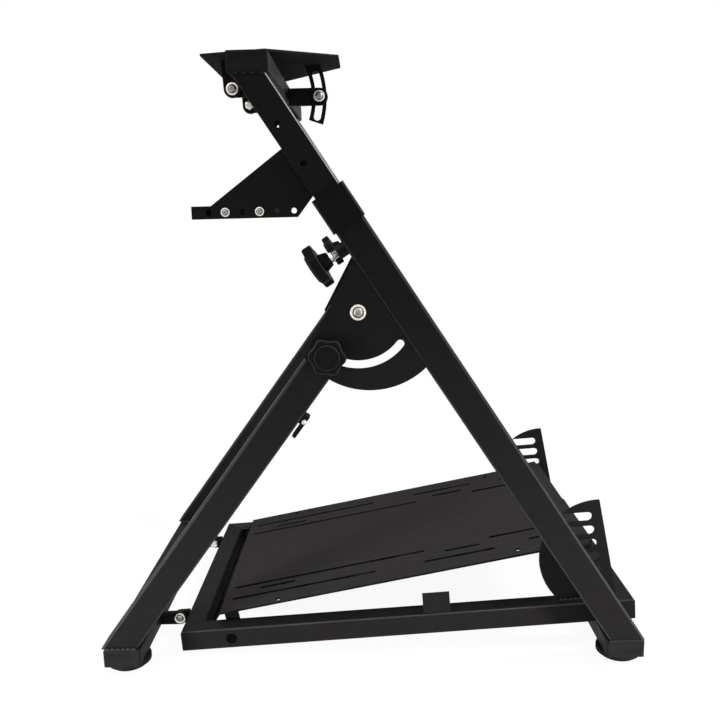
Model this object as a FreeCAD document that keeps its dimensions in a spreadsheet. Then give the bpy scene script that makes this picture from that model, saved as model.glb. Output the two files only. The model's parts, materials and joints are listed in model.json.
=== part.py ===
"""Foldable racing wheel stand: two A-frames of square tube, a telescopic mast with a tilting wheel
plate, a shifter bracket and a fold-up pedal base. Millimetres, +X away from the driver, +Z up, the
origin on the floor midway between the four feet. "Right" is the driver's right, the -Y side."""

import FreeCAD, Part
import os
import re
import Sketcher

# Driving sizes, in millimetres and degrees.
SIZES = {
    # Floor frame
    "frame_width": 500,
    "base_span": 680,
    "bar_width": 50,
    "bar_height": 25,
    "bar_wall": 2,
    "bar_corner": 3,
    "cap_lip": 3,
    "cap_depth": 15,
    "cap_fit": 0.1,
    "pad_diameter": 60,
    "pad_taper": 2.5,
    "pad_height": 11,
    "pad_inset": 33,
    # Main legs and mast
    "leg_width": 40,
    "leg_wall": 2,
    "leg_corner": 4,
    "main_lean": 32.6,
    "main_foot_offset": 2,
    "collar_top": 712,
    "collar_length": 48,
    "collar_wall": 3,
    "collar_lip": 3,
    "collar_fit": 0.1,
    "mast_width": 35,
    "mast_wall": 2,
    "mast_corner": 3,
    "mast_insert": 260,
    "mast_hole": 8,
    "mast_hole_offset": 5,
    "mast_hole_low": 43,
    "mast_hole_pitch": 55,
    # Clamp knobs
    "stud_diameter": 10,
    "run_gap": 0.05,
    "knob_diameter": 48,
    "height_knob_diameter": 57,
    "knob_scallop": 14,
    "knob_dip": 4,
    "knob_thickness": 16,
    "hub_diameter": 24,
    "hub_height": 8,
    "height_knob_below": 21,
    "height_boss": 18,
    "height_boss_length": 12,
    "height_stud_show": 15.5,
    "tip_gap": 0.3,
    # Front legs and pivot
    "front_foot_offset": 4,
    "front_leg_top": 17,
    "pivot_below": 74,
    "pivot_gap": 31.5,
    "pivot_head": 20,
    "pivot_head_height": 6,
    "nut_diameter": 17,
    "nut_height": 8,
    "head_gap": 0.2,
    "crescent_thickness": 3,
    "crescent_gap": 0.5,
    "crescent_radius": 101,
    "crescent_shift": 12.9,
    "crescent_drop": 6.6,
    "crescent_chord": 46.7,
    "crescent_chord_angle": 28.8,
    "slot_radius": 66,
    "slot_width": 10.5,
    "slot_past": 19,
    "catch_station": 184,
    "catch_length": 34,
    "catch_width": 16,
    "catch_height": 9,
    "catch_gap": 4,
    "catch_tongue": 20,
    # Top bar and wheel plate
    "mast_show": 166.4,
    "lug_thickness": 4,
    "lug_radius": 11,
    "side_gap": 0.3,
    "bolt_diameter": 8,
    "bolt_head": 16,
    "bolt_head_height": 5,
    "wheel_hinge_back": 19,
    "wheel_hinge_drop": 6.5,
    "wheel_hinge_inset": 42,
    "wheel_tilt": 3,
    "wheel_plate_rise": 38.7,
    "wheel_plate_thickness": 3,
    "wheel_plate_front": 33,
    "wheel_plate_straight": 86,
    "wheel_plate_length": 182,
    "wheel_plate_width": 250,
    "wheel_plate_nose": 86,
    "sheet_thickness": 3,
    "tab_radius": 12,
    "tilt_arm_reach": 46,
    "tilt_arm_height": 25,
    "tilt_arm_thickness": 8,
    "bracket_width": 22,
    "bracket_low": 22,
    "bracket_high": 25,
    "tilt_slot_width": 10.5,
    "tilt_slot_half": 15,
    # Shifter bracket
    "gusset_rise": 6,
    "gusset_edge": 68,
    "gusset_reach": 127.5,
    "gusset_drop": 25.5,
    "gusset_tip": 16,
    "gusset_heel": 20,
    "gusset_hole": 7,
    "gusset_hole_pitch": 21.3,
    "gusset_hole_first": 24.5,
    "shelf_overhang": 25,
    "shelf_length": 102,
    "shelf_depth": 100,
    "shelf_flange": 16,
    "shelf_slot_width": 7,
    "shelf_slot_length": 34,
    "shelf_slot_pitch": 46,
    "shelf_slot_spread": 56,
    # Pedal base
    "base_hinge_reach": 29,
    "base_hinge_inset": 61,
    "base_lug_radius": 10,
    "base_lead": 15,
    "base_length": 640,
    "base_clear": 6.5,
    "base_tube": 30,
    "base_wall": 1.5,
    "base_corner": 3,
    "base_drop": 6,
    "rest_gap": 0.3,
    "keeper_station": 344.5,
    "keeper_width": 38,
    "keeper_height": 30,
    "keeper_inset": 3,
    "keeper_thickness": 2,
    "plate_hinge_station": 71,
    "plate_hinge_head": 14,
    "plate_lift": 26.5,
    "plate_front": 15,
    "plate_lip": 32,
    "plate_lip_angle": 47,
    "plate_lip_gap": 3,
    "plate_margin": 24,
    "plate_tail": 3,
    "plate_ear_inset": 9,
    "plate_ear_radius": 10,
    "plate_slot": 6,
    "plate_hole": 8,
    "quadrant_inset": 15,
    "quadrant_radius": 84,
    "quadrant_back": 44,
    "quadrant_rise": 60.5,
    "quadrant_edge": 14,
    "quadrant_lean": 7.8,
    "notch_height": 13,
    "notch_length": 46,
    "notch_pitch": 20,
    "notch_low": 41.5,
    "notch_edge": 14,
    "notch_used": 2,
    "plate_tab_length": 20,
    "plate_tab_back": 30,
}

# Sizes that follow from the ones above.
DERIVED = {
    "bar_top": "pad_height + bar_height",
    "rear_x": "base_span / 2",
    "main_foot_x": "rear_x + main_foot_offset",
    "front_foot_x": "-rear_x - front_foot_offset",
    "pad_y": "frame_width / 2 - pad_inset",
    "leg_y": "frame_width / 2 - leg_width / 2",
    "front_leg_y": "leg_y - crescent_thickness - crescent_gap",
    "height_knob_station": "collar_top - collar_length - height_knob_below",
    "pivot_station": "height_knob_station - pivot_below",
    "pivot_reach": "leg_width / 2 + pivot_gap",
    "pivot_x": "main_foot_x - pivot_reach * cos(main_lean) - pivot_station * sin(main_lean)",
    "pivot_z": "bar_top - pivot_reach * sin(main_lean) + pivot_station * cos(main_lean)",
    "front_run": "pivot_x - front_foot_x",
    "front_rise": "pivot_z - bar_top",
    "front_lean": "atan(front_run / front_rise) / 1 deg",
    "front_length": "sqrt(front_run * front_run + front_rise * front_rise)",
    "slot_open": "main_lean + front_lean",
    "slot_middle": "90 + (slot_open - slot_past) / 2",
    "slot_sweep": "slot_open + slot_past",
    "stud_radius": "stud_diameter / 2",
    "bolt_radius": "bolt_diameter / 2",
    "mast_top": "collar_top + mast_show",
    "top_bar_z": "bar_top + mast_top * cos(main_lean)",
    "mast_low": "collar_top - mast_insert",
    "top_bar_x": "main_foot_x - mast_top * sin(main_lean)",
    "wheel_hinge_x": "top_bar_x - bar_width / 2 - wheel_hinge_back",
    "wheel_hinge_z": "top_bar_z + bar_height / 2 - wheel_hinge_drop",
    "tilt_radius": "wheel_hinge_back + bar_width + tilt_arm_reach",
    "tilt_arm_y": "sheet_thickness / 2 + side_gap + tilt_arm_thickness / 2",
    "wheel_hinge_spread": "wheel_plate_width / 2 - wheel_hinge_inset",
    "wheel_tab_y": "wheel_hinge_spread + lug_thickness / 2 + side_gap + sheet_thickness / 2",
    "base_hinge_x": "-rear_x + bar_width / 2 + base_hinge_reach",
    "base_hinge_z": "pad_height + bar_height / 2",
    "base_width": "2 * front_leg_y - leg_width - 2 * base_clear",
    "base_hinge_spread": "base_width / 2 - base_hinge_inset",
    "base_lug_y": "base_hinge_spread - lug_thickness - side_gap",
    "base_side_y": "base_width / 2 - base_tube / 2",
    "rest_run": "rear_x - bar_width / 2 - base_hinge_x",
    "rest_rise": "bar_top + rest_gap - base_hinge_z",
    "base_under": "base_drop + base_tube / 2",
    "base_top": "base_tube / 2 - base_drop",
    "rest_reach": "sqrt(rest_run * rest_run + rest_rise * rest_rise)",
    "base_tilt": "(asin(base_under / rest_reach) + atan(rest_rise / rest_run)) / 1 deg",
    "plate_hinge_x": "base_lead + plate_hinge_station",
    "plate_width": "base_width - 2 * plate_margin",
    "plate_ear_y": "plate_width / 2 - plate_ear_inset",
    "quadrant_x": "base_lead + base_length - quadrant_back",
    "quadrant_y": "base_width / 2 - quadrant_inset",
    "quadrant_mid": "base_top + quadrant_rise",
    "notch_base": "base_top + notch_low",
    "notch_z": "notch_base + notch_used * notch_pitch",
    "tab_run": "quadrant_x + quadrant_edge - notch_edge - plate_tab_back - plate_hinge_x",
    "tab_rise": "notch_z - notch_height / 2 + rest_gap + base_drop",
    "tab_reach": "sqrt(tab_run * tab_run + tab_rise * tab_rise)",
    "plate_tilt": "(atan(tab_rise / tab_run) - asin(plate_lift / tab_reach)) / 1 deg",
    "plate_tab": "sqrt(tab_reach * tab_reach - plate_lift * plate_lift)",
    "plate_rear": "plate_tab + plate_tab_length + plate_tail",
}

# Slot rows on each side of the pedal plate: distance in from the side edge, then the two ends, from
# the front edge on the first half and back from the rear edge on the second.
FRONT_ROWS = [(73, 15, 304), (57, 56, 104), (36, 16, 228)]
REAR_ROWS = [(59, 201, 154), (36, 234, 135), (76, 132, 35), (45, 78, 35)]
FRONT_HOLE = (9, 86)
REAR_HOLE = (17, 102)
NOTCHES = 5
GUSSET_HOLES = 5
SHELF_BOLTS = (2, 4)
LOBES = 6

SIDES = {"right": -1, "left": 1}
X_AXIS = "1; 0; 0"
Y_AXIS = "0; 1; 0"
Z_AXIS = "0; 0; 1"

doc = FreeCAD.newDocument("WheelStand")
sheet = doc.addObject("Spreadsheet::Sheet", "Sizes")
pieces = []


def fill_sheet():
    """Write every size to the sheet, the driving ones as numbers and the rest as formulas."""
    cells = dict(SIZES)
    cells.update({name: f"={text}" for name, text in DERIVED.items()})
    for row, (name, content) in enumerate(cells.items(), start=1):
        sheet.set(f"A{row}", name)
        sheet.set(f"B{row}", str(content))
        sheet.setAlias(f"B{row}", name)
    doc.recompute()


def formula(text):
    """Turn size names into references to the sheet."""
    known = set(SIZES) | set(DERIVED)
    return re.sub(r"[a-z]\w*", lambda word: f"Sizes.{word[0]}" if word[0] in known else word[0], str(text))


def value(text):
    """The present value of a formula."""
    found = sheet.evalExpression(str(text))
    return float(getattr(found, "Value", found))


def step(x=0, y=0, z=0, axis=Y_AXIS, angle=0):
    """One move and turn, written as an expression."""
    spot = f"create(<<vector>>; {formula(x)}; {formula(y)}; {formula(z)})"
    turn = f"create(<<rotation>>; create(<<vector>>; {axis}); {formula(angle)})"
    return f"create(<<placement>>; {spot}; {turn})"


def place(thing, *steps):
    """Bind a placement to a chain of moves and turns."""
    thing.setExpression("Placement", " * ".join(steps))


MAIN = step("main_foot_x", 0, "bar_top", Y_AXIS, "-main_lean")
FRONT = step("front_foot_x", 0, "bar_top", Y_AXIS, "front_lean")
PIVOT = step("pivot_x", 0, "pivot_z", Y_AXIS, "-main_lean")
WHEEL = step("wheel_hinge_x", 0, "wheel_hinge_z", Y_AXIS, "-wheel_tilt")
BASE = step("base_hinge_x", 0, "base_hinge_z", Y_AXIS, "-base_tilt")
PLATE = step("plate_hinge_x", 0, "-base_drop", Y_AXIS, "-plate_tilt")
LEVEL = step()


def outward(side):
    """A turn that points local +Z away from the stand on one side."""
    return step(axis=X_AXIS, angle=-90 * SIDES[side])


def piece(label, *steps):
    """A new body in its place."""
    body = doc.addObject("PartDesign::Body", label)
    body.Label = label
    place(body, *steps)
    pieces.append(body)
    return body


def box(body, kind, size, *steps):
    """A box with its first corner at the end of the steps."""
    feature = body.newObject(f"PartDesign::{kind}Box", f"{body.Name}_box")
    for name, text in zip(("Length", "Width", "Height"), size):
        feature.setExpression(name, formula(text))
    place(feature, *steps)
    return feature


def cylinder(body, kind, radius, height, *steps):
    """A cylinder that rises along local +Z from the end of the steps."""
    feature = body.newObject(f"PartDesign::{kind}Cylinder", f"{body.Name}_round")
    feature.setExpression("Radius", formula(radius))
    feature.setExpression("Height", formula(height))
    place(feature, *steps)
    return feature


def bore(body, radius, length, x=0, y=0, z=0):
    """A round hole along Y, centred on a point."""
    half = step(x, f"({y}) + ({length}) / 2", z, X_AXIS, 90)
    return cylinder(body, "Subtractive", radius, length, half)


def round_edges(body, feature, direction, radius):
    """Round the edges of a feature that run one way."""
    doc.recompute()
    way = FreeCAD.Vector(*direction)
    found = []
    for number, edge in enumerate(feature.Shape.Edges, start=1):
        if abs(edge.tangentAt(edge.FirstParameter).dot(way)) > 0.999:
            found.append(f"Edge{number}")
    fillet = body.newObject("PartDesign::Fillet", f"{body.Name}_fillet")
    fillet.Base = (feature, found)
    fillet.setExpression("Radius", formula(radius))
    return fillet


def origin_feature(body, role):
    """One of a body's own origin planes or axes."""
    return next(item for item in body.Origin.OriginFeatures if item.Role == role)


def new_sketch(body, role):
    """An empty sketch on one of a body's origin planes."""
    sketch = body.newObject("Sketcher::SketchObject", f"{body.Name}_sketch")
    sketch.AttachmentSupport = (origin_feature(body, role), [""])
    sketch.MapMode = "FlatFace"
    return sketch


def pin_point(sketch, geometry, vertex, x, y):
    """Tie a point of a sketch to formulas for its place."""
    for kind, text in (("DistanceX", x), ("DistanceY", y)):
        number = sketch.addConstraint(Sketcher.Constraint(kind, -1, 1, geometry, vertex, value(text)))
        sketch.setExpression(f"Constraints[{number}]", formula(text))


def draw_polygon(sketch, corners):
    """A closed outline through corners given as formulas."""
    spots = [FreeCAD.Vector(value(x), value(y), 0) for x, y in corners]
    first = sketch.GeometryCount
    count = len(corners)
    for start, end in zip(spots, spots[1:] + spots[:1]):
        sketch.addGeometry(Part.LineSegment(start, end))
    for number in range(count):
        following = first + (number + 1) % count
        sketch.addConstraint(Sketcher.Constraint("Coincident", first + number, 2, following, 1))
    for number, (x, y) in enumerate(corners):
        pin_point(sketch, first + number, 1, x, y)


def draw_slot(sketch, start, end, y, width):
    """A round-ended slot along sketch X."""
    x0, x1, mid, radius = value(start), value(end), value(y), value(width) / 2
    up = FreeCAD.Vector(0, 0, 1)
    left, right = FreeCAD.Vector(x0, mid, 0), FreeCAD.Vector(x1, mid, 0)
    rise = FreeCAD.Vector(0, radius, 0)
    quarter = 1.5707963267948966
    first = sketch.GeometryCount
    sketch.addGeometry(Part.ArcOfCircle(Part.Circle(left, up, radius), quarter, 3 * quarter))
    sketch.addGeometry(Part.LineSegment(left - rise, right - rise))
    sketch.addGeometry(Part.ArcOfCircle(Part.Circle(right, up, radius), -quarter, quarter))
    sketch.addGeometry(Part.LineSegment(right + rise, left + rise))
    for number in range(4):
        following = first + (number + 1) % 4
        sketch.addConstraint(Sketcher.Constraint("Tangent", first + number, 2, following, 1))
    sketch.addConstraint(Sketcher.Constraint("Horizontal", first + 1))
    sketch.addConstraint(Sketcher.Constraint("Equal", first, first + 2))
    pin_point(sketch, first, 3, start, y)
    far = sketch.addConstraint(Sketcher.Constraint("DistanceX", -1, 1, first + 2, 3, x1))
    sketch.setExpression(f"Constraints[{far}]", formula(end))
    size = sketch.addConstraint(Sketcher.Constraint("Radius", first, radius))
    sketch.setExpression(f"Constraints[{size}]", formula(f"({width}) / 2"))


def pad(body, sketch, thickness):
    """Thicken a sketch equally to both sides."""
    feature = body.newObject("PartDesign::Pad", f"{body.Name}_pad")
    feature.Profile = sketch
    feature.Midplane = True
    feature.setExpression("Length", formula(thickness))
    return feature


def pocket(body, sketch, depth):
    """Cut a sketch equally to both sides."""
    feature = body.newObject("PartDesign::Pocket", f"{body.Name}_pocket")
    feature.Profile = sketch
    feature.Midplane = True
    feature.setExpression("Length", formula(depth))
    return feature


def ring(body, kind, radius, width, thickness, middle, sweep):
    """A curved strip about the body's Y axis: added as a revolution or cut as a groove."""
    sketch = new_sketch(body, "XY_Plane")
    sketch.setExpression("AttachmentOffset", step(axis=Y_AXIS, angle=middle))
    inner, outer = f"{radius} - ({width}) / 2", f"{radius} + ({width}) / 2"
    low, high = f"-({thickness}) / 2", f"({thickness}) / 2"
    draw_polygon(sketch, [(inner, low), (outer, low), (outer, high), (inner, high)])
    feature = body.newObject(f"PartDesign::{kind}", f"{body.Name}_ring")
    feature.Profile = sketch
    feature.ReferenceAxis = (origin_feature(body, "Y_Axis"), [""])
    feature.Midplane = True
    feature.setExpression("Angle", formula(sweep))
    return feature


def arc_slot(body, radius, width, depth, middle, sweep):
    """A round-ended slot along an arc about the body's Y axis."""
    ring(body, "Groove", radius, width, depth, middle, sweep)
    for sign in ("-", "+"):
        turn = step(axis=Y_AXIS, angle=f"({middle}) {sign} ({sweep}) / 2")
        end = step(radius, f"({depth}) / 2", 0, X_AXIS, 90)
        cylinder(body, "Subtractive", f"({width}) / 2", depth, turn, end)


def square_tube(body, width, wall, corner, low, high):
    """An open square tube along local Z."""
    length = f"({high}) - ({low})"
    outer = box(body, "Additive", (width, width, length), step(f"-{width} / 2", f"-{width} / 2", low))
    round_edges(body, outer, (0, 0, 1), corner)
    hollow = f"{width} - 2 * {wall}"
    box(body, "Subtractive", (hollow, hollow, length), step(f"-({hollow}) / 2", f"-({hollow}) / 2", low))


def level_cut(body, width, height, lean, above):
    """Cut a leaning tube off level, above or below a point on its axis."""
    size = (f"4 * {width}", f"2 * {width}", f"2 * {width}")
    drop = "0" if above else f"-2 * {width}"
    box(body, "Subtractive", size, step(0, 0, height), step(axis=Y_AXIS, angle=lean),
        step(f"-2 * {width}", f"-{width}", drop))


def flat_bar(body):
    """A rectangular cross bar along Y, open at its ends, centred on its own middle."""
    length = "frame_width - 2 * cap_lip"
    size = ("bar_width", length, "bar_height")
    outer = box(body, "Additive", size, step("-bar_width / 2", f"-({length}) / 2", "-bar_height / 2"))
    round_edges(body, outer, (0, 1, 0), "bar_corner")
    wide, tall = "bar_width - 2 * bar_wall", "bar_height - 2 * bar_wall"
    box(body, "Subtractive", (wide, length, tall), step(f"-({wide}) / 2", f"-({length}) / 2", f"-({tall}) / 2"))


def make_cap(label, x, z, side):
    """A plug that closes one end of a cross bar."""
    cap = piece(label, step(x, f"{SIDES[side]} * (frame_width / 2 - cap_lip)", z), outward(side))
    lip = box(cap, "Additive", ("bar_width", "bar_height", "cap_lip"),
              step("-bar_width / 2", "-bar_height / 2", 0))
    round_edges(cap, lip, (0, 0, 1), "bar_corner")
    wide = "bar_width - 2 * bar_wall - 2 * cap_fit"
    tall = "bar_height - 2 * bar_wall - 2 * cap_fit"
    box(cap, "Additive", (wide, tall, "cap_depth"), step(f"-({wide}) / 2", f"-({tall}) / 2", "-cap_depth"))


def make_pad(label, x, side):
    """A round rubber foot under a cross bar, narrower at the floor."""
    foot = piece(label, step(x, f"{SIDES[side]} * pad_y", 0))
    cone = foot.newObject("PartDesign::AdditiveCone", f"{label}_cone")
    cone.setExpression("Radius1", formula("pad_diameter / 2 - pad_taper"))
    cone.setExpression("Radius2", formula("pad_diameter / 2"))
    cone.setExpression("Height", formula("pad_height"))


def make_knob(label, diameter, grip, *steps):
    """A star knob on a stud: local +Z points out, the clamped face is at zero."""
    knob = piece(label, *steps)
    cylinder(knob, "Additive", "stud_radius", f"({grip}) + hub_height", step(0, 0, f"-({grip})"))
    cylinder(knob, "Additive", "hub_diameter / 2", "hub_height", step(0, 0, "head_gap"))
    base = "head_gap + hub_height"
    cylinder(knob, "Additive", f"{diameter} / 2", "knob_thickness", step(0, 0, base))
    scallop = cylinder(knob, "Subtractive", "knob_scallop", "knob_thickness",
                       step(f"{diameter} / 2 - knob_dip + knob_scallop", 0, base))
    doc.recompute()
    scallops = knob.newObject("PartDesign::PolarPattern", f"{label}_scallops")
    scallops.Originals = [scallop]
    scallops.Axis = (origin_feature(knob, "Z_Axis"), [""])
    scallops.Angle = 360
    scallops.Occurrences = LOBES
    knob.Tip = scallops


def hexagon(body, across, height, *steps):
    """A hexagonal prism, given across its corners."""
    feature = body.newObject("PartDesign::AdditivePrism", f"{body.Name}_hexagon")
    feature.Polygon = 6
    feature.setExpression("Circumradius", formula(f"({across}) / 2"))
    feature.setExpression("Height", formula(height))
    place(feature, *steps)


def make_bolt(label, radius, head, head_height, grip, *steps):
    """A bolt with a hexagonal nut: local +Z points to the head, the clamped face is at zero."""
    bolt = piece(label, *steps)
    cylinder(bolt, "Additive", f"{head} / 2", head_height, step(0, 0, "head_gap"))
    end = f"-({grip}) - nut_height"
    cylinder(bolt, "Additive", radius, f"({grip}) + nut_height + head_gap + {head_height} / 2", step(0, 0, end))
    hexagon(bolt, "nut_diameter", "nut_height - head_gap", step(0, 0, end))


def make_main_side(side):
    """One main leg with its collar, pivot plate and height knob."""
    sign = SIDES[side]
    leg = piece(f"main_leg_{side}", MAIN, step(0, f"{sign} * leg_y", 0))
    square_tube(leg, "leg_width", "leg_wall", "leg_corner", "-leg_width", "collar_top - collar_lip")
    level_cut(leg, "leg_width", 0, "main_lean", False)
    face = step("-leg_width / 2 + leg_wall / 2", 0, "height_knob_station", Y_AXIS, -90)
    cylinder(leg, "Additive", "height_boss / 2", "height_boss_length + leg_wall / 2", face)
    cylinder(leg, "Subtractive", "stud_radius + run_gap", "height_boss_length + 2 * leg_wall",
             step("leg_wall", 0, 0), face)

    collar = piece(f"collar_{side}", MAIN, step(0, f"{sign} * leg_y", "collar_top"))
    wide = "leg_width + 2 * collar_wall"
    shell = box(collar, "Additive", (wide, wide, "collar_length"),
                step(f"-({wide}) / 2", f"-({wide}) / 2", "-collar_length"))
    round_edges(collar, shell, (0, 0, 1), "leg_corner")
    seat = "leg_width + 2 * collar_fit"
    box(collar, "Subtractive", (seat, seat, "collar_length - collar_lip"),
        step(f"-({seat}) / 2", f"-({seat}) / 2", "-collar_length"))
    mouth = "leg_width - 2 * leg_wall"
    box(collar, "Subtractive", (mouth, mouth, "collar_length"),
        step(f"-({mouth}) / 2", f"-({mouth}) / 2", "-collar_length"))

    plate = piece(f"pivot_plate_{side}", PIVOT,
                  step(0, f"{sign} * (frame_width / 2 - crescent_thickness / 2)", 0))
    centre = step("crescent_shift", 0, "-crescent_drop")
    cylinder(plate, "Additive", "crescent_radius", "crescent_thickness", centre,
             step(0, "crescent_thickness / 2", 0, X_AXIS, 90))
    far = ("4 * crescent_radius", "4 * crescent_thickness", "4 * crescent_radius")
    box(plate, "Subtractive", far, step("pivot_gap", "-2 * crescent_thickness", "-2 * crescent_radius"))
    box(plate, "Subtractive", far, centre, step(axis=Y_AXIS, angle="-crescent_chord_angle"),
        step("-2 * crescent_radius", "-2 * crescent_thickness", "crescent_chord"))
    bore(plate, "stud_radius + run_gap", "2 * crescent_thickness")
    arc_slot(plate, "slot_radius", "slot_width", "2 * crescent_thickness", "slot_middle", "slot_sweep")

    make_knob(f"height_knob_{side}", "height_knob_diameter",
              "height_stud_show + height_boss_length + leg_wall - tip_gap", MAIN,
              step("-leg_width / 2 - height_boss_length - height_stud_show", f"{sign} * leg_y",
                   "height_knob_station", Y_AXIS, -90))


def make_mast_tube(side):
    """One mast tube, level at its top, with two bracket holes through it."""
    sign = SIDES[side]
    mast = piece(f"mast_tube_{side}", MAIN, step(0, f"{sign} * leg_y", 0))
    square_tube(mast, "mast_width", "mast_wall", "mast_corner", "mast_low", "mast_top + mast_width")
    level_cut(mast, "mast_width", "mast_top", "main_lean", True)
    for count in range(2):
        station = f"collar_top + mast_hole_low + {count} * mast_hole_pitch"
        bore(mast, "mast_hole / 2", "2 * mast_width", "-mast_hole_offset", 0, station)


def make_top_bar():
    """The bar across the mast, with hinge ears on its driver's side and the tilt arm behind it."""
    bar = piece("top_cross_bar", step("top_bar_x", 0, "top_bar_z + bar_height / 2"))
    flat_bar(bar)
    for sign in SIDES.values():
        ear_y = f"{sign} * wheel_hinge_spread"
        hinge = step("-bar_width / 2 - wheel_hinge_back", 0, "-wheel_hinge_drop")
        box(bar, "Additive", ("wheel_hinge_back", "lug_thickness", "lug_radius + wheel_hinge_drop"), hinge,
            step(0, f"{ear_y} - lug_thickness / 2", "-lug_radius"))
        cylinder(bar, "Additive", "lug_radius", "lug_thickness", hinge,
                 step(0, f"{ear_y} + lug_thickness / 2", 0, X_AXIS, 90))
        bore(bar, "bolt_radius + run_gap", "2 * lug_thickness", "-bar_width / 2 - wheel_hinge_back", ear_y,
             "-wheel_hinge_drop")

    arm = piece("tilt_arm", step("wheel_hinge_x + tilt_radius", "tilt_arm_y", "wheel_hinge_z"))
    box(arm, "Additive", ("tilt_arm_reach", "tilt_arm_thickness", "tilt_arm_height"),
        step("-tilt_arm_reach", "-tilt_arm_thickness / 2", "-tilt_arm_height / 2"))
    cylinder(arm, "Additive", "tilt_arm_height / 2", "tilt_arm_thickness",
             step(0, "tilt_arm_thickness / 2", 0, X_AXIS, 90))
    bore(arm, "stud_radius + run_gap", "2 * tilt_arm_thickness")
    make_bolt("tilt_bolt", "stud_radius", "bolt_head", "bolt_head_height",
              "sheet_thickness + side_gap + tilt_arm_thickness",
              step("wheel_hinge_x + tilt_radius", "-sheet_thickness / 2", "wheel_hinge_z"), outward("right"))
    for side, sign in SIDES.items():
        make_cap(f"top_cap_{side}", "top_bar_x", "top_bar_z + bar_height / 2", side)
        make_bolt(f"wheel_hinge_bolt_{side}", "bolt_radius", "bolt_head", "bolt_head_height",
                  "sheet_thickness + side_gap + lug_thickness",
                  step("wheel_hinge_x", f"{sign} * (wheel_tab_y + sheet_thickness / 2)", "wheel_hinge_z"),
                  outward(side))


def make_shifter_bracket():
    """The gusset under the right mast tube and the shelf bolted behind it."""
    foot = step("-mast_width / 2", "-leg_y", "collar_top + gusset_rise", Y_AXIS, "main_lean")
    gusset = piece("shifter_gusset", MAIN, foot)
    sketch = new_sketch(gusset, "XZ_Plane")
    draw_polygon(sketch, [
        ("0", "0"),
        ("-gusset_edge * sin(main_lean)", "gusset_edge * cos(main_lean)"),
        ("-gusset_reach", "gusset_tip - gusset_drop"),
        ("-gusset_reach", "-gusset_drop"),
        ("-gusset_heel", "-gusset_drop"),
    ])
    pad(gusset, sketch, "sheet_thickness")
    row = "-gusset_drop + gusset_tip / 2"
    for count in range(GUSSET_HOLES):
        bore(gusset, "gusset_hole / 2", "2 * sheet_thickness",
             f"-gusset_hole_first - {count} * gusset_hole_pitch", 0, row)

    shelf = piece("shifter_shelf", MAIN, foot,
                  step("-gusset_reach - shelf_overhang", "sheet_thickness / 2", "-gusset_drop"))
    box(shelf, "Additive", ("shelf_length", "sheet_thickness", "shelf_flange"), LEVEL)
    box(shelf, "Additive", ("shelf_length", "shelf_depth", "sheet_thickness"), LEVEL)
    for count in (*SHELF_BOLTS, GUSSET_HOLES):
        bore(shelf, "gusset_hole / 2", "4 * sheet_thickness",
             f"gusset_reach + shelf_overhang - gusset_hole_first - {count} * gusset_hole_pitch", 0,
             "gusset_tip / 2")
    slots = new_sketch(shelf, "XY_Plane")
    half = "(shelf_slot_length - shelf_slot_width) / 2"
    for across in ("-", "+"):
        for along in ("-", "+"):
            middle = f"shelf_length / 2 {across} shelf_slot_pitch / 2"
            draw_slot(slots, f"{middle} - {half}", f"{middle} + {half}",
                      f"shelf_depth / 2 {along} shelf_slot_spread / 2", "shelf_slot_width")
    pocket(shelf, slots, "4 * sheet_thickness")


def make_wheel_mount():
    """The tapered wheel plate with its hinge tabs and slotted arc bracket."""
    plate = piece("wheel_plate", WHEEL, step(0, 0, "wheel_plate_rise + wheel_plate_thickness / 2"))
    sketch = new_sketch(plate, "XY_Plane")
    front, shoulder = "-wheel_plate_front", "wheel_plate_straight - wheel_plate_front"
    nose = "wheel_plate_length - wheel_plate_front"
    draw_polygon(sketch, [
        (front, "-wheel_plate_width / 2"),
        (shoulder, "-wheel_plate_width / 2"),
        (nose, "-wheel_plate_nose / 2"),
        (nose, "wheel_plate_nose / 2"),
        (shoulder, "wheel_plate_width / 2"),
        (front, "wheel_plate_width / 2"),
    ])
    pad(plate, sketch, "wheel_plate_thickness")
    for side, sign in SIDES.items():
        tab = piece(f"wheel_hinge_tab_{side}", WHEEL, step(0, f"{sign} * wheel_tab_y", 0))
        box(tab, "Additive", ("2 * tab_radius", "sheet_thickness", "wheel_plate_rise"),
            step("-tab_radius", "-sheet_thickness / 2", 0))
        cylinder(tab, "Additive", "tab_radius", "sheet_thickness",
                 step(0, "sheet_thickness / 2", 0, X_AXIS, 90))
        bore(tab, "bolt_radius + run_gap", "2 * sheet_thickness")

    bracket = piece("tilt_bracket", WHEEL)
    ring(bracket, "Revolution", "tilt_radius", "bracket_width", "sheet_thickness",
         "(bracket_low - bracket_high) / 2", "bracket_low + bracket_high")
    box(bracket, "Subtractive", ("2 * tilt_radius", "4 * sheet_thickness", "tilt_radius"),
        step(0, "-2 * sheet_thickness", "wheel_plate_rise"))
    arc_slot(bracket, "tilt_radius", "tilt_slot_width", "2 * sheet_thickness", "wheel_tilt",
             "2 * tilt_slot_half")


def make_front_side(side):
    """One front leg with its pivot bolt and angle knob."""
    sign = SIDES[side]
    leg = piece(f"front_leg_{side}", FRONT, step(0, f"{sign} * front_leg_y", 0))
    square_tube(leg, "leg_width", "leg_wall", "leg_corner", "-leg_width", "front_length + front_leg_top")
    level_cut(leg, "leg_width", 0, "-front_lean", False)
    for station in ("front_length", "front_length - slot_radius"):
        bore(leg, "stud_radius + run_gap", "4 * leg_wall", 0, f"{sign} * leg_width / 2", station)

    grip = "crescent_thickness + crescent_gap + leg_wall"
    outside = step(0, f"{sign} * frame_width / 2", 0)
    make_bolt(f"pivot_bolt_{side}", "stud_radius", "pivot_head", "pivot_head_height", grip, FRONT,
              step(0, 0, "front_length"), outside, outward(side))
    make_knob(f"leg_knob_{side}", "knob_diameter", f"{grip} + nut_height", FRONT,
              step(0, 0, "front_length - slot_radius"), outside, outward(side))


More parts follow.
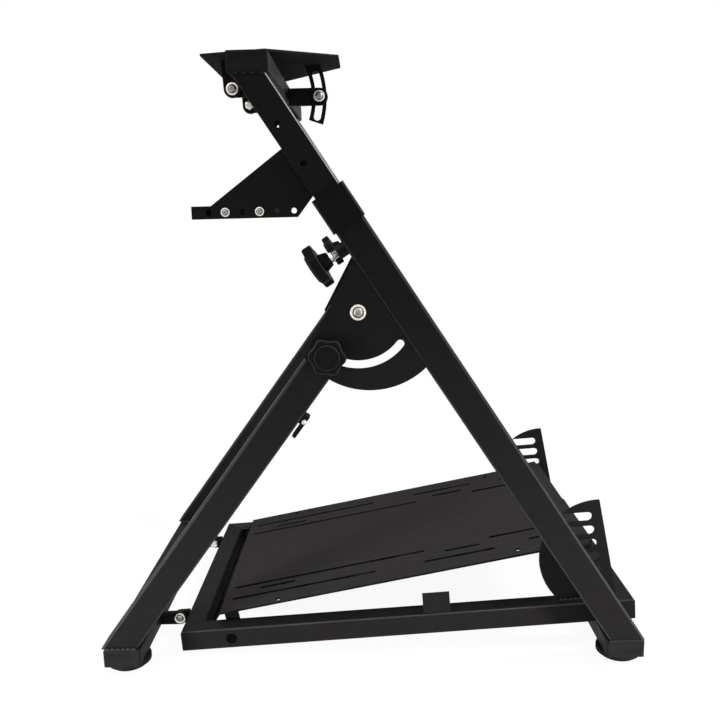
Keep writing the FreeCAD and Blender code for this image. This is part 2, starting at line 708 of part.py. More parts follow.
def make_front_bar():
    """The front foot bar with the ears that carry the pedal base."""
    bar = piece("front_foot_bar", step("-rear_x", 0, "pad_height + bar_height / 2"))
    flat_bar(bar)
    for side, sign in SIDES.items():
        ear = f"{sign} * base_hinge_spread"
        tip = "bar_width / 2 + base_hinge_reach"
        box(bar, "Additive", ("base_hinge_reach", "lug_thickness", "2 * base_lug_radius"),
            step("bar_width / 2", f"{ear} - lug_thickness / 2", "-base_lug_radius"))
        cylinder(bar, "Additive", "base_lug_radius", "lug_thickness",
                 step(tip, f"{ear} + lug_thickness / 2", 0, X_AXIS, 90))
        bore(bar, "bolt_radius + run_gap", "2 * lug_thickness", tip, ear, 0)
        make_bolt(f"base_hinge_bolt_{side}", "bolt_radius", "bolt_head", "bolt_head_height",
                  "2 * lug_thickness + side_gap",
                  step("base_hinge_x", f"{sign} * (base_hinge_spread + lug_thickness / 2)", "base_hinge_z"),
                  outward(side))

    catch = piece("fold_catch", FRONT, step("leg_width / 2", "-front_leg_y", "front_length - catch_station"))
    box(catch, "Additive", ("catch_height", "catch_width", "catch_length"), step(0, "-catch_width / 2", 0))
    box(catch, "Subtractive", ("catch_gap", "2 * catch_width", "catch_tongue"), step(0, "-catch_width", 0))


def mitre(tube, width, spot, angle):
    """Cut a tube end at 45 degrees, so that its +X side stays the long one."""
    size = (f"4 * {width}", f"4 * {width}", f"4 * {width}")
    box(tube, "Subtractive", size, step(0, 0, spot, Y_AXIS, angle), step(f"-2 * {width}", f"-2 * {width}", 0))


def mitred_tube(label, length, *steps):
    """One side of the pedal base's frame: local +Z along it and +X to the outside of the frame."""
    tube = piece(label, BASE, *steps)
    square_tube(tube, "base_tube", "base_wall", "base_corner", f"-({length}) / 2", f"({length}) / 2")
    mitre(tube, "base_tube", f"-({length}) / 2 + base_tube / 2", -135)
    mitre(tube, "base_tube", f"({length}) / 2 - base_tube / 2", -45)
    return tube


def make_base_frame():
    """The pedal base: a mitred frame of square tube, with the ears on its hinge bolts."""
    middle = "base_lead + base_length / 2"
    for side, sign in SIDES.items():
        tube = mitred_tube(f"base_side_{side}", "base_length",
                           step(middle, f"{sign} * base_side_y", "-base_drop", Y_AXIS, 90),
                           step(axis=Z_AXIS, angle=90 * sign))
        station = "plate_hinge_station - base_length / 2"
        cylinder(tube, "Subtractive", "bolt_radius + run_gap", "2 * base_tube",
                 step("-base_tube", 0, station, Y_AXIS, 90))
        cylinder(tube, "Subtractive", "plate_hinge_head / 2 + run_gap", "2 * base_wall",
                 step("base_tube / 2 - base_wall", 0, station, Y_AXIS, 90))
    for end, start, turn in (("front", "base_lead", 180), ("rear", "base_lead + base_length - base_tube", 0)):
        tube = mitred_tube(f"base_cross_{end}", "base_width",
                           step(f"{start} + base_tube / 2", 0, "-base_drop", X_AXIS, 90),
                           step(axis=Z_AXIS, angle=turn))
        if end == "front":
            for sign in SIDES.values():
                make_base_ear(tube, sign)
    keeper = piece("keeper_tab", BASE,
                   step("base_lead + keeper_station", "keeper_inset - base_width / 2", "base_top"))
    box(keeper, "Additive", ("keeper_width", "keeper_thickness", "keeper_height"), LEVEL)


def make_base_ear(tube, sign):
    """An ear from the front cross tube forward to the hinge axis."""
    level = (step(axis=Z_AXIS, angle=-180), step(axis=X_AXIS, angle=-90))
    hinge = step("-base_lead - base_tube / 2", f"{sign} * base_lug_y", "base_drop")
    box(tube, "Additive", ("base_lead", "lug_thickness", "2 * base_lug_radius"), *level, hinge,
        step(0, "-lug_thickness / 2", "-base_lug_radius"))
    cylinder(tube, "Additive", "base_lug_radius", "lug_thickness", *level, hinge,
             step(0, "lug_thickness / 2", 0, X_AXIS, 90))
    cylinder(tube, "Subtractive", "bolt_radius + run_gap", "2 * lug_thickness", *level, hinge,
             step(0, "lug_thickness", 0, X_AXIS, 90))


def make_quadrant(side):
    """A rounded side plate with five level slots that set the pedal plate's slope."""
    plate = piece(f"quadrant_{side}", BASE, step("quadrant_x", f"{SIDES[side]} * quadrant_y", 0))
    cylinder(plate, "Additive", "quadrant_radius", "sheet_thickness",
             step(0, "sheet_thickness / 2", "quadrant_mid", X_AXIS, 90))
    far = ("4 * quadrant_radius", "4 * sheet_thickness", "4 * quadrant_radius")
    box(plate, "Subtractive", far,
        step("-2 * quadrant_radius", "-2 * sheet_thickness", "base_top - 4 * quadrant_radius"))
    box(plate, "Subtractive", far, step("quadrant_edge", 0, "quadrant_mid", Y_AXIS, "-quadrant_lean"),
        step(0, "-2 * sheet_thickness", "-2 * quadrant_radius"))
    sketch = new_sketch(plate, "XZ_Plane")
    for count in range(NOTCHES):
        height = f"(notch_base + {count} * notch_pitch)"
        end = f"quadrant_edge - notch_edge - notch_height / 2 + (quadrant_mid - {height}) * tan(quadrant_lean)"
        draw_slot(sketch, f"{end} - notch_length + notch_height", end, height, "notch_height")
    pocket(plate, sketch, "2 * sheet_thickness")


def make_pedal_plate():
    """The slotted pedal plate, hinged at its front and held by two tabs in the quadrants."""
    rise = "plate_lift + sheet_thickness / 2"
    plate = piece("pedal_plate", BASE, PLATE, step(0, 0, rise))
    outline = new_sketch(plate, "XY_Plane")
    front, rear, edge = "-plate_front", "plate_rear", "plate_width / 2"
    wing, start, end = "quadrant_y + sheet_thickness", "plate_tab", "plate_tab + plate_tab_length"
    draw_polygon(outline, [
        (front, f"-{edge}"), (start, f"-{edge}"), (start, f"-({wing})"), (end, f"-({wing})"), (end, f"-{edge}"),
        (rear, f"-{edge}"), (rear, edge), (end, edge), (end, wing), (start, wing), (start, edge), (front, edge),
    ])
    pad(plate, outline, "sheet_thickness")
    lip = "base_width - 2 * base_tube - 2 * plate_lip_gap"
    box(plate, "Additive", ("plate_lip", lip, "sheet_thickness"),
        step(front, f"-({lip}) / 2", "sheet_thickness / 2", Y_AXIS, "180 - plate_lip_angle"))
    slots = new_sketch(plate, "XY_Plane")
    for sign in SIDES.values():
        for inset, first, last in FRONT_ROWS:
            row = f"{sign} * ({edge} - {inset})"
            draw_slot(slots, f"{first} - plate_front", f"{last} - plate_front", row, "plate_slot")
        for inset, first, last in REAR_ROWS:
            row = f"{sign} * ({edge} - {inset})"
            draw_slot(slots, f"plate_rear - {first}", f"plate_rear - {last}", row, "plate_slot")
    pocket(plate, slots, "2 * sheet_thickness")
    for sign in SIDES.values():
        for x, inset in ((f"{FRONT_HOLE[1]} - plate_front", FRONT_HOLE[0]),
                         (f"plate_rear - {REAR_HOLE[1]}", REAR_HOLE[0])):
            cylinder(plate, "Subtractive", "plate_hole / 2", "2 * sheet_thickness",
                     step(x, f"{sign} * ({edge} - {inset})", "-sheet_thickness"))
        ear = f"{sign} * plate_ear_y"
        box(plate, "Additive", ("2 * plate_ear_radius", "sheet_thickness", "plate_lift"),
            step("-plate_ear_radius", f"{ear} - sheet_thickness / 2", f"-({rise})"))
        cylinder(plate, "Additive", "plate_ear_radius", "sheet_thickness",
                 step(0, f"{ear} + sheet_thickness / 2", f"-({rise})", X_AXIS, 90))
        bore(plate, "bolt_radius + run_gap", "2 * sheet_thickness", 0, ear, f"-({rise})")


def make_plate_bolt(side):
    """A flush hinge bolt through a side tube into an ear of the pedal plate."""
    bolt = piece(f"plate_bolt_{side}", BASE,
                 step("plate_hinge_x", f"{SIDES[side]} * base_width / 2", "-base_drop"), outward(side))
    grip = "base_width / 2 - plate_ear_y + sheet_thickness / 2"
    cylinder(bolt, "Additive", "plate_hinge_head / 2", "base_wall", step(0, 0, "-base_wall"))
    cylinder(bolt, "Additive", "bolt_radius", f"{grip} + nut_height / 2",
             step(0, 0, f"-({grip}) - nut_height / 2"))


def check(thing):
    """Stop on a failed or empty object."""
    if {"Invalid", "Error"} & set(thing.State):
        raise RuntimeError(f"{thing.Label} did not rebuild: {thing.State}")


def main():
    os.makedirs("parts", exist_ok=True)
    fill_sheet()
    rear = piece("rear_foot_bar", step("rear_x", 0, "pad_height + bar_height / 2"))
    flat_bar(rear)
    make_front_bar()
    make_top_bar()
    for side in SIDES:
        make_main_side(side)
        make_mast_tube(side)
        make_front_side(side)
        make_quadrant(side)
        make_plate_bolt(side)
        for end, x in (("rear", "rear_x"), ("front", "-rear_x")):
            make_cap(f"{end}_cap_{side}", x, "pad_height + bar_height / 2", side)
            make_pad(f"{end}_pad_{side}", x, side)
    make_shifter_bracket()
    make_wheel_mount()
    make_base_frame()
    make_pedal_plate()
    doc.recompute()
    for thing in doc.Objects:
        check(thing)
    for body in pieces:
        if body.Shape.isNull() or not body.Shape.isValid() or len(body.Shape.Solids) != 1:
            raise RuntimeError(f"{body.Label} is not one valid solid")
    for body in pieces:
        body.Shape.exportStep(f"parts/{body.Label}.step")


main()
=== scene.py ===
"""Dresses the foldable racing wheel stand: coats, welds, knobs, bolts, caps and feet, on a pale stage."""

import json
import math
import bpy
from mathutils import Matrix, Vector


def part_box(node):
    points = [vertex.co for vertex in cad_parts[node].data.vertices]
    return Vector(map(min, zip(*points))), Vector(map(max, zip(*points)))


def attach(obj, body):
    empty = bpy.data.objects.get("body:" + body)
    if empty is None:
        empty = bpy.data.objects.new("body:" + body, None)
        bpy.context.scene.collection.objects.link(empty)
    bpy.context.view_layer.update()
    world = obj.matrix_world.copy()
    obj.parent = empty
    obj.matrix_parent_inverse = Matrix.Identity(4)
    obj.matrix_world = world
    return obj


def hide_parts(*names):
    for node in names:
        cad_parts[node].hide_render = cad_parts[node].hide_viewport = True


bl_info = {
    "name": "Racing Wheel Stand",
    "version": (1, 0, 0),
    "blender": (4, 5, 0),
    "location": "View3D > Sidebar > Wheel Stand",
    "description": "Finishes a folding wheel stand with its knobs, bolts, welds, caps and coats",
    "category": "Object",
}

import bmesh
import bpy
from mathutils import Matrix, Vector

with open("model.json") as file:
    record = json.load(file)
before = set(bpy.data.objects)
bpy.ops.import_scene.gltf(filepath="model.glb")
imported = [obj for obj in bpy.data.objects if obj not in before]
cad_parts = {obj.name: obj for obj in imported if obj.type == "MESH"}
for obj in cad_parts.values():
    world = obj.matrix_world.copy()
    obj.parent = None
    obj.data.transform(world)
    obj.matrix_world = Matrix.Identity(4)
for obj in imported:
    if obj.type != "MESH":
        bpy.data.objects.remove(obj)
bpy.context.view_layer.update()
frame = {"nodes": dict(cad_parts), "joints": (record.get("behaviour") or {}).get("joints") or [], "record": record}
NODES = frame["nodes"]
JOINTS = {joint["name"]: joint for joint in frame["joints"]}
SIDES = {"right": -1, "left": 1}
OUT = {"right": Vector((0, -1, 0)), "left": Vector((0, 1, 0))}
ALONG_MAST = Vector(JOINTS["mast_slide"]["axis"])
UNDER_MAST = Vector((-ALONG_MAST.z, 0, ALONG_MAST.x))
# Points closer than these count as level with each other, or as on one edge.
LEVEL, NEAR = 1e-5, 1e-4
# Two faces are set this far apart so that they don't lie in one plane.
SKIN = 0.00005


class StandCoats(bpy.types.PropertyGroup):
    """Colours of the stand's finishes, and of the painted highlights and shade laid on them."""

    frame: bpy.props.FloatVectorProperty(
        name="Frame", description="Powder coat on the tubes and brackets", subtype="COLOR",
        default=(0.0072, 0.0065, 0.0069))
    # Painted highlight: a lighter tone laid on the rounded corners of tubes, knobs and collars, where edges would
    # catch the light. The grey plug in the shelf's hole is moulded in this tone too.
    painted_light_tone: bpy.props.FloatVectorProperty(
        name="Painted highlight on corners", description="Painted highlight on corners of tubes, knobs and collars", subtype="COLOR",
        default=(0.030, 0.029, 0.030))
    # Painted highlight: a near-white tone laid on the mast tubes' corners that face away from under the mast, as a
    # bright edge line.
    painted_mast_highlight: bpy.props.FloatVectorProperty(
        name="Painted mast highlight", description="Painted highlight on the mast's corners", subtype="COLOR",
        default=(0.42, 0.42, 0.43))
    # Matt coat of the wheel plate. On the base's front tube it is painted light: the top faces take this lighter
    # tone and the sides keep the darker frame colour.
    matt_coat_and_lit_top: bpy.props.FloatVectorProperty(
        name="Matt coat", description="Wheel plate, and top of the base's front tube", subtype="COLOR",
        default=(0.0150, 0.0140, 0.0145))
    plate: bpy.props.FloatVectorProperty(
        name="Pedal plate", description="Textured coat on the pedal plate", subtype="COLOR",
        default=(0.0216, 0.0200, 0.0196))
    zinc: bpy.props.FloatVectorProperty(
        name="Zinc", description="Plating on the bolts and studs", subtype="COLOR",
        default=(0.84, 0.81, 0.74))
    plastic: bpy.props.FloatVectorProperty(
        name="Plastic", description="Knobs and collars", subtype="COLOR",
        default=(0.0052, 0.0048, 0.0050))
    cap: bpy.props.FloatVectorProperty(
        name="End caps", description="Plastic of the bars' end caps", subtype="COLOR",
        default=(0.0088, 0.0088, 0.0092))
    # Near-black of the covers and plugs. It is also the painted shade on the pedal plate's slot walls and lip, on
    # one side of the mast plugs' recesses and in the ring round each zinc bolt's head.
    bolt: bpy.props.FloatVectorProperty(
        name="Black bolt", description="Black covers and plugs, and painted shade on slot walls", subtype="COLOR",
        default=(0.0011, 0.0010, 0.0012))
    rubber: bpy.props.FloatVectorProperty(
        name="Rubber", description="Feet", subtype="COLOR", default=(0.0075, 0.0075, 0.0075))


class StandSizes(bpy.types.PropertyGroup):
    """Sizes of the small pieces."""

    weld_width: bpy.props.FloatProperty(
        name="Weld width", description="Width of a weld bead", subtype="DISTANCE", default=0.0070)
    weld_pitch: bpy.props.FloatProperty(
        name="Weld pitch", description="Length of one weld ripple", subtype="DISTANCE", default=0.0077)
    knob_round: bpy.props.FloatProperty(
        name="Knob rounding", description="Edge rounding of a star knob", subtype="DISTANCE", default=0.0022)
    thread_pitch: bpy.props.FloatProperty(
        name="Thread pitch", description="Pitch of a knob's stud", subtype="DISTANCE", default=0.0020)
    cap_round: bpy.props.FloatProperty(
        name="Cap rounding", description="Edge rounding of an end cap", subtype="DISTANCE", default=0.0022)
    screw_diameter: bpy.props.FloatProperty(
        name="Shelf screw", description="Diameter of the shelf's screws", subtype="DISTANCE", default=0.006)


class StandStage(bpy.types.PropertyGroup):
    """Camera and light."""

    eye: bpy.props.FloatVectorProperty(
        name="Eye", description="Place of the camera", subtype="XYZ_LENGTH",
        default=(0.00367, -1.22180, 0.60593))
    pitch: bpy.props.FloatProperty(
        name="Pitch", description="Camera's downward tilt", subtype="ANGLE", default=0.1817)
    yaw: bpy.props.FloatProperty(
        name="Yaw", description="Camera's turn to the right", subtype="ANGLE", default=-0.0111)
    roll: bpy.props.FloatProperty(
        name="Roll", description="Camera's roll", subtype="ANGLE", default=-0.0261)
    lens: bpy.props.FloatProperty(
        name="Lens", description="Focal length in millimetres", unit="CAMERA", default=39.33)
    fill: bpy.props.FloatProperty(
        name="Fill", description="Strength of the surrounding light", subtype="FACTOR", default=0.45)


def coats():
    """The colours in use."""
    return bpy.context.scene.stand_coats


def sizes():
    """The sizes in use."""
    return bpy.context.scene.stand_sizes


# Materials


def node_tree(name):
    """A new node material: the tree, its shader and its object coordinates."""
    material = bpy.data.materials.new(name)
    material.use_nodes = True
    tree = material.node_tree
    shader = tree.nodes["Principled BSDF"]
    place = tree.nodes.new("ShaderNodeTexCoord")
    return material, tree, shader, place.outputs["Object"]


def noise(tree, place, scale, detail=3.0, roughness=0.55):
    """A cloudy pattern."""
    texture = tree.nodes.new("ShaderNodeTexNoise")
    texture.inputs["Scale"].default_value = scale
    texture.inputs["Detail"].default_value = detail
    texture.inputs["Roughness"].default_value = roughness
    tree.links.new(place, texture.inputs["Vector"])
    return texture.outputs["Fac"]


def ramp(tree, source, low, high, start=0.3, end=0.7):
    """A colour or grey that runs from low to high with a texture."""
    node = tree.nodes.new("ShaderNodeValToRGB")
    node.color_ramp.elements[0].position = start
    node.color_ramp.elements[1].position = end
    node.color_ramp.elements[0].color = low
    node.color_ramp.elements[1].color = high
    tree.links.new(source, node.inputs["Fac"])
    return node.outputs["Color"]


def spread(tree, source, low, high):
    """A number that runs from low to high while its source runs over the middle of its range."""
    node = tree.nodes.new("ShaderNodeMapRange")
    node.inputs["From Min"].default_value = 0.3
    node.inputs["From Max"].default_value = 0.7
    node.inputs["To Min"].default_value = low
    node.inputs["To Max"].default_value = high
    tree.links.new(source, node.inputs["Value"])
    return node.outputs["Result"]


def bump(tree, source, strength, depth):
    """A normal that follows a pattern."""
    node = tree.nodes.new("ShaderNodeBump")
    node.inputs["Strength"].default_value = strength
    node.inputs["Distance"].default_value = depth
    tree.links.new(source, node.inputs["Height"])
    return node.outputs["Normal"]


def shade(colour, share):
    """A colour made lighter or darker."""
    return (*[channel * share for channel in colour], 1.0)


def grained(name, colour, rough, grain, strength, depth, mottle=90.0, specular=0.035):
    """A painted or moulded finish: fine grain, faint mottling and uneven gloss."""
    material, tree, shader, place = node_tree(name)
    dark, light = shade(colour, 0.93), shade(colour, 1.08)
    tree.links.new(ramp(tree, noise(tree, place, mottle, 4.0), dark, light), shader.inputs["Base Color"])
    tree.links.new(spread(tree, noise(tree, place, mottle * 0.4), *rough), shader.inputs["Roughness"])
    tree.links.new(bump(tree, noise(tree, place, grain, 2.0), strength, depth), shader.inputs["Normal"])
    shader.inputs["Specular IOR Level"].default_value = specular
    return material


def maths(tree, operation, first, second=None):
    """One arithmetic node on a socket, and a second socket where there is one."""
    node = tree.nodes.new("ShaderNodeMath")
    node.operation = operation
    tree.links.new(first, node.inputs[0])
    if second:
        tree.links.new(second, node.inputs[1])
    return node.outputs[0]


def broad_normal(node):
    """The normal of a node's largest face."""
    return max(NODES[node].data.polygons, key=lambda face: face.area).normal


def along(tree, direction, way):
    """How far a direction points along a fixed way."""
    node = tree.nodes.new("ShaderNodeVectorMath")
    node.operation = "DOT_PRODUCT"
    node.inputs[1].default_value = way
    tree.links.new(direction, node.inputs[0])
    return node.outputs["Value"]


# How far a face's normal lies along an axis, and how much of a second colour the face takes there: the second
# colour is a painted highlight or painted shade.
CORNERS = ((0.40, 0), (0.62, 1), (0.86, 1), (0.97, 0))
EDGES = ((0.80, 1), (0.95, 0))


def paint_light_by_facing(name, colour, painted_light_tone, axis, lean, *grain, band=CORNERS, **gloss):
    """A grained finish with a painted highlight or painted shade in a second colour, where faces turn from an
    axis, or only where they face lean.
    """
    material = grained(name, colour, *grain, **gloss)
    tree = material.node_tree
    place = tree.nodes.new("ShaderNodeTexCoord")
    normal = place.outputs["Normal"]
    corner = tree.nodes.new("ShaderNodeValToRGB")
    stops = corner.color_ramp.elements
    for stop, (position, level) in zip((stops[0], stops[1]), (band[0], band[-1])):
        stop.position, stop.color = position, (level, level, level, 1)
    for position, level in band[1:-1]:
        stops.new(position).color = (level, level, level, 1)
    tree.links.new(maths(tree, "ABSOLUTE", along(tree, normal, axis)), corner.inputs["Fac"])
    patches = spread(tree, noise(tree, place.outputs["Object"], 35.0, 4.0), 0.55, 1.0)
    amount = maths(tree, "MULTIPLY", corner.outputs["Color"], patches)
    if lean:
        amount = maths(tree, "MULTIPLY", amount, spread(tree, along(tree, normal, lean), 0.0, 1.0))
    shader = tree.nodes["Principled BSDF"]
    mix = tree.nodes.new("ShaderNodeMix")
    mix.data_type = "RGBA"
    paint = shader.inputs["Base Color"].links[0].from_socket
    tree.links.new(amount, mix.inputs["Factor"])
    tree.links.new(paint, mix.inputs["A"])
    mix.inputs["B"].default_value = (*painted_light_tone, 1)
    tree.links.new(mix.outputs["Result"], shader.inputs["Base Color"])
    return material


def plated(name, colour, level=1.0, rough=(0.24, 0.42)):
    """Zinc plate with fine turning lines and darker patches."""
    material, tree, shader, place = node_tree(name)
    patches = noise(tree, place, 420.0, 4.0)
    dark, light = shade(colour, 0.72 * level), shade(colour, 1.08 * level)
    tree.links.new(ramp(tree, patches, dark, light), shader.inputs["Base Color"])
    tree.links.new(spread(tree, noise(tree, place, 700.0), *rough), shader.inputs["Roughness"])
    tree.links.new(bump(tree, noise(tree, place, 2600.0, 2.0), 0.12, 0.0002), shader.inputs["Normal"])
    shader.inputs["Metallic"].default_value = 1.0
    return material


def white_ground(name, keep):
    """A pale ground that stays white to the camera and keeps part of the shadow."""
    material = bpy.data.materials.new(name)
    material.use_nodes = True
    tree = material.node_tree
    tree.nodes.clear()
    output = tree.nodes.new("ShaderNodeOutputMaterial")
    diffuse = tree.nodes.new("ShaderNodeBsdfDiffuse")
    diffuse.inputs["Color"].default_value = (0.92, 0.92, 0.92, 1)
    glow = tree.nodes.new("ShaderNodeEmission")
    glow.inputs["Strength"].default_value = 1.0
    mix = tree.nodes.new("ShaderNodeMixShader")
    share = tree.nodes.new("ShaderNodeMath")
    share.operation = "MULTIPLY"
    share.inputs[1].default_value = keep
    tree.links.new(seen_rays(tree), share.inputs[0])
    tree.links.new(share.outputs[0], mix.inputs["Fac"])
    tree.links.new(diffuse.outputs[0], mix.inputs[1])
    tree.links.new(glow.outputs[0], mix.inputs[2])
    tree.links.new(mix.outputs[0], output.inputs["Surface"])
    return material


def seen_rays(tree):
    """One for rays that show the ground: straight, mirrored or through glass."""
    path = tree.nodes.new("ShaderNodeLightPath")
    seen = path.outputs["Is Camera Ray"]
    for kind in ("Is Glossy Ray", "Is Transmission Ray"):
        seen = maths(tree, "MAXIMUM", seen, path.outputs[kind])
    return seen


def finish_of(slot):
    """The material of a finish, made once."""
    name = f"stand_{slot}"
    found = bpy.data.materials.get(name)
    if found:
        return found
    tint = coats()
    # Scale, strength and depth of the grain.
    powder, moulded = (1500.0, 0.10, 0.0003), (2200.0, 0.10, 0.0002)
    textured, rubbery = (1300.0, 0.16, 0.0004), (900.0, 0.20, 0.0004)
    # Least and greatest roughness, and the specular level of a coat without shine.
    smooth_coat, satin, dull, matt = (0.40, 0.52), (0.45, 0.58), (0.66, 0.80), (0.78, 0.90)
    no_shine = 0.015
    side, under, up, forward = OUT["left"], UNDER_MAST, Vector((0, 0, 1)), Vector((1, 0, 0))
    makers = {
        # Frame: painted highlight, the lighter tone on the tubes' rounded corners, in patches.
        "frame_paint": lambda: paint_light_by_facing(name, tint.frame, tint.painted_light_tone, side, None, satin, *powder),
        # Mast tubes: frame colour with a painted highlight on the corners that face away from under the mast.
        "mast_painted_highlight": lambda: paint_light_by_facing(name, tint.frame, tint.painted_mast_highlight, side, -under, smooth_coat, *powder),
        "deck_paint": lambda: grained(name, tint.matt_coat_and_lit_top, matt, *powder, specular=no_shine),
        # Base's front tube: painted light, its top faces lighter than its sides.
        "cross_painted_lit_top": lambda: paint_light_by_facing(name, tint.matt_coat_and_lit_top, tint.frame, up, None, matt, *powder,
                                      band=EDGES, specular=no_shine),
        # Pedal plate: the slot walls, the lip and the other faces that turn from the plate's face take the
        # near-black tone, painted shade where they lie in shadow.
        "plate_paint": lambda: paint_light_by_facing(name, tint.plate, tint.bolt, broad_normal("pedal_plate"), None,
                                      (0.84, 0.94), *textured, band=EDGES, specular=0.0),
        # Mast plugs: frame colour, with the recess walls that face forward in near-black: painted shade in the
        # hole.
        "mast_plug_painted_shade": lambda: paint_light_by_facing(name, tint.frame, tint.bolt, side, forward, dull, *powder,
                                    band=EDGES, specular=no_shine),
        "grey_plug": lambda: grained(name, tint.painted_light_tone, (0.50, 0.62), *moulded),
        "zinc_bolt": lambda: plated(name, tint.zinc),
        # Bolt heads: a rougher zinc, and darker as painted shade on the dome.
        "zinc_head_shaded": lambda: plated(name, tint.zinc, 0.42, (0.34, 0.50)),
        "black_bolt": lambda: grained(name, tint.bolt, dull, *moulded, specular=no_shine),
        # Knobs and collars: painted highlight, the lighter tone on their rims and rounded edges.
        "knob_plastic": lambda: paint_light_by_facing(name, tint.plastic, tint.painted_light_tone, side, None, smooth_coat, *moulded),
        "height_knob": lambda: paint_light_by_facing(name, tint.plastic, tint.painted_light_tone, under, None, smooth_coat, *moulded),
        "collar_plastic": lambda: paint_light_by_facing(name, tint.plastic, tint.painted_light_tone, side, None, (0.46, 0.58), *moulded),
        "cap_plastic": lambda: grained(name, tint.cap, (0.44, 0.58), *moulded),
        "foot_rubber": lambda: grained(name, tint.rubber, dull, *rubbery),
    }
    return makers[slot]()


def coat(thing, slot):
    """Give a piece one finish all over."""
    thing.data.materials.clear()
    thing.data.materials.append(finish_of(slot))


# Modelling helpers


def deselect():
    """Into object mode, with nothing selected."""
    if bpy.context.mode != "OBJECT":
        bpy.ops.object.mode_set(mode="OBJECT")
    bpy.ops.object.select_all(action="DESELECT")


def activate(thing):
    """Select one piece alone."""
    deselect()
    thing.select_set(True)
    bpy.context.view_layer.objects.active = thing


def cylinder(radius, height, base=0.0, sides=48, centre=(0.0, 0.0)):
    """A cylinder that stands on base along Z."""
    deselect()
    bpy.ops.mesh.primitive_cylinder_add(
        vertices=sides, radius=radius, depth=height, location=(*centre, base + height / 2))
    bpy.ops.object.transform_apply(location=True, rotation=True, scale=True)
    return bpy.context.active_object


def block(size, base=0.0):
    """A box that stands on base, centred across."""
    deselect()
    bpy.ops.mesh.primitive_cube_add(size=1.0, location=(0, 0, base + size[2] / 2))
    bpy.context.active_object.scale = size
    bpy.ops.object.transform_apply(location=True, rotation=True, scale=True)
    return bpy.context.active_object


def select_faces(thing, test):
    """Into edit mode, with the faces selected that pass a test on centre and normal."""
    activate(thing)
    bpy.ops.object.mode_set(mode="EDIT")
    bpy.ops.mesh.select_mode(type="FACE")
    bpy.ops.mesh.select_all(action="DESELECT")
    mesh = bmesh.from_edit_mesh(thing.data)
    for face in mesh.faces:
        face.select_set(test(face.calc_center_median(), face.normal))
    mesh.select_flush_mode()
    bmesh.update_edit_mesh(thing.data)


def top_of(thing):
    """A test for the faces at the top of a piece."""
    top = max(corner[2] for corner in thing.bound_box)
    return lambda centre, normal: normal.z > 0.9 and centre.z > top - LEVEL


def step_top(thing, *steps):
    """Inset the top face, each step in and up."""
    select_faces(thing, top_of(thing))
    for inward, rise in steps:
        bpy.ops.mesh.inset(thickness=inward, depth=rise)
    bpy.ops.object.mode_set(mode="OBJECT")


def apply_modifier(thing, kind, **settings):
    """Add a modifier and apply it."""
    activate(thing)
    modifier = thing.modifiers.new(kind.title(), kind)
    for name, setting in settings.items():
        setattr(modifier, name, setting)
    bpy.ops.object.modifier_apply(modifier=modifier.name)


def bevel(thing, width, segments=2, angle=35.0):
    """Round the edges sharper than an angle."""
    apply_modifier(thing, "BEVEL", width=width, segments=segments, limit_method="ANGLE",
                   angle_limit=math.radians(angle))


def carve(thing, cutter):
    """Cut one piece out of another and delete the cutter."""
    apply_modifier(thing, "BOOLEAN", operation="DIFFERENCE", object=cutter, solver="EXACT")
    bpy.data.objects.remove(cutter, do_unlink=True)


def join(first, *others):
    """Make several pieces one."""
    deselect()
    for thing in (first, *others):
        thing.select_set(True)
    bpy.context.view_layer.objects.active = first
    bpy.ops.object.join()
    return first


def smooth(thing, angle=35.0):
    """Shade smooth, but for edges sharper than an angle."""
    activate(thing)
    bpy.ops.object.shade_smooth_by_angle(angle=math.radians(angle))


def copy_of(thing, name):
    """A copy with a mesh of its own."""
    twin = thing.copy()
    twin.data = thing.data.copy()
    twin.name = name
    bpy.context.scene.collection.objects.link(twin)
    return twin


def put(thing, matrix):
    """Move a finished piece to its place and keep the place in its mesh."""
    activate(thing)
    thing.matrix_world = matrix
    bpy.ops.object.transform_apply(location=True, rotation=True, scale=True)


def discard(*masters):
    """Delete the pieces that only served as masters for copies."""
    for thing in masters:
        bpy.data.objects.remove(thing, do_unlink=True)


def deliver(thing, name, slot, body, *replaced, finish=None):
    """Name, coat and mount a finished piece."""
    if not thing.data.polygons:
        raise RuntimeError(f"{name} has no faces")
    thing.name = name
    thing.data.name = name
    coat(thing, finish or slot)
    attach(thing, body)
    if replaced:
        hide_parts(*replaced)


def facing(origin, outward, side=(1, 0, 0)):
    """A placement with Z outward."""
    z = Vector(outward).normalized()
    y = z.cross(Vector(side)).normalized()
    x = y.cross(z)
    return Matrix.Translation(origin) @ Matrix((x, y, z)).transposed().to_4x4()


def span(node, direction):
    """Least and greatest reach of a node along a direction."""
    reach = [vertex.co.dot(direction) for vertex in NODES[node].data.vertices]
    return min(reach), max(reach)


def axis_frame(node, outward):
    """A node's own axis: Z outward from the node's inner end, and its length."""
    z = Vector(outward).normalized()
    turn = facing((0, 0, 0), z)
    x, y = turn.col[0].to_3d(), turn.col[1].to_3d()
    low, high = span(node, z)
    middle = x * (sum(span(node, x)) / 2) + y * (sum(span(node, y)) / 2)
    return facing(middle + z * low, z), high - low


def level_edge(node, top):
    """The rectangle of a node's lowest or highest level face."""
    points = [vertex.co for vertex in NODES[node].data.vertices]
    height = (max if top else min)(point.z for point in points)
    ring = [point for point in points if abs(point.z - height) < LEVEL]
    xs, ys = [point.x for point in ring], [point.y for point in ring]
    return min(xs), max(xs), min(ys), max(ys), height


# Pieces


# Nodes with a finish other than their slot's.
FINISHES = {"mast_tube_right": "mast_painted_highlight", "mast_tube_left": "mast_painted_highlight",
            "wheel_plate": "deck_paint", "base_cross_front": "cross_painted_lit_top"}


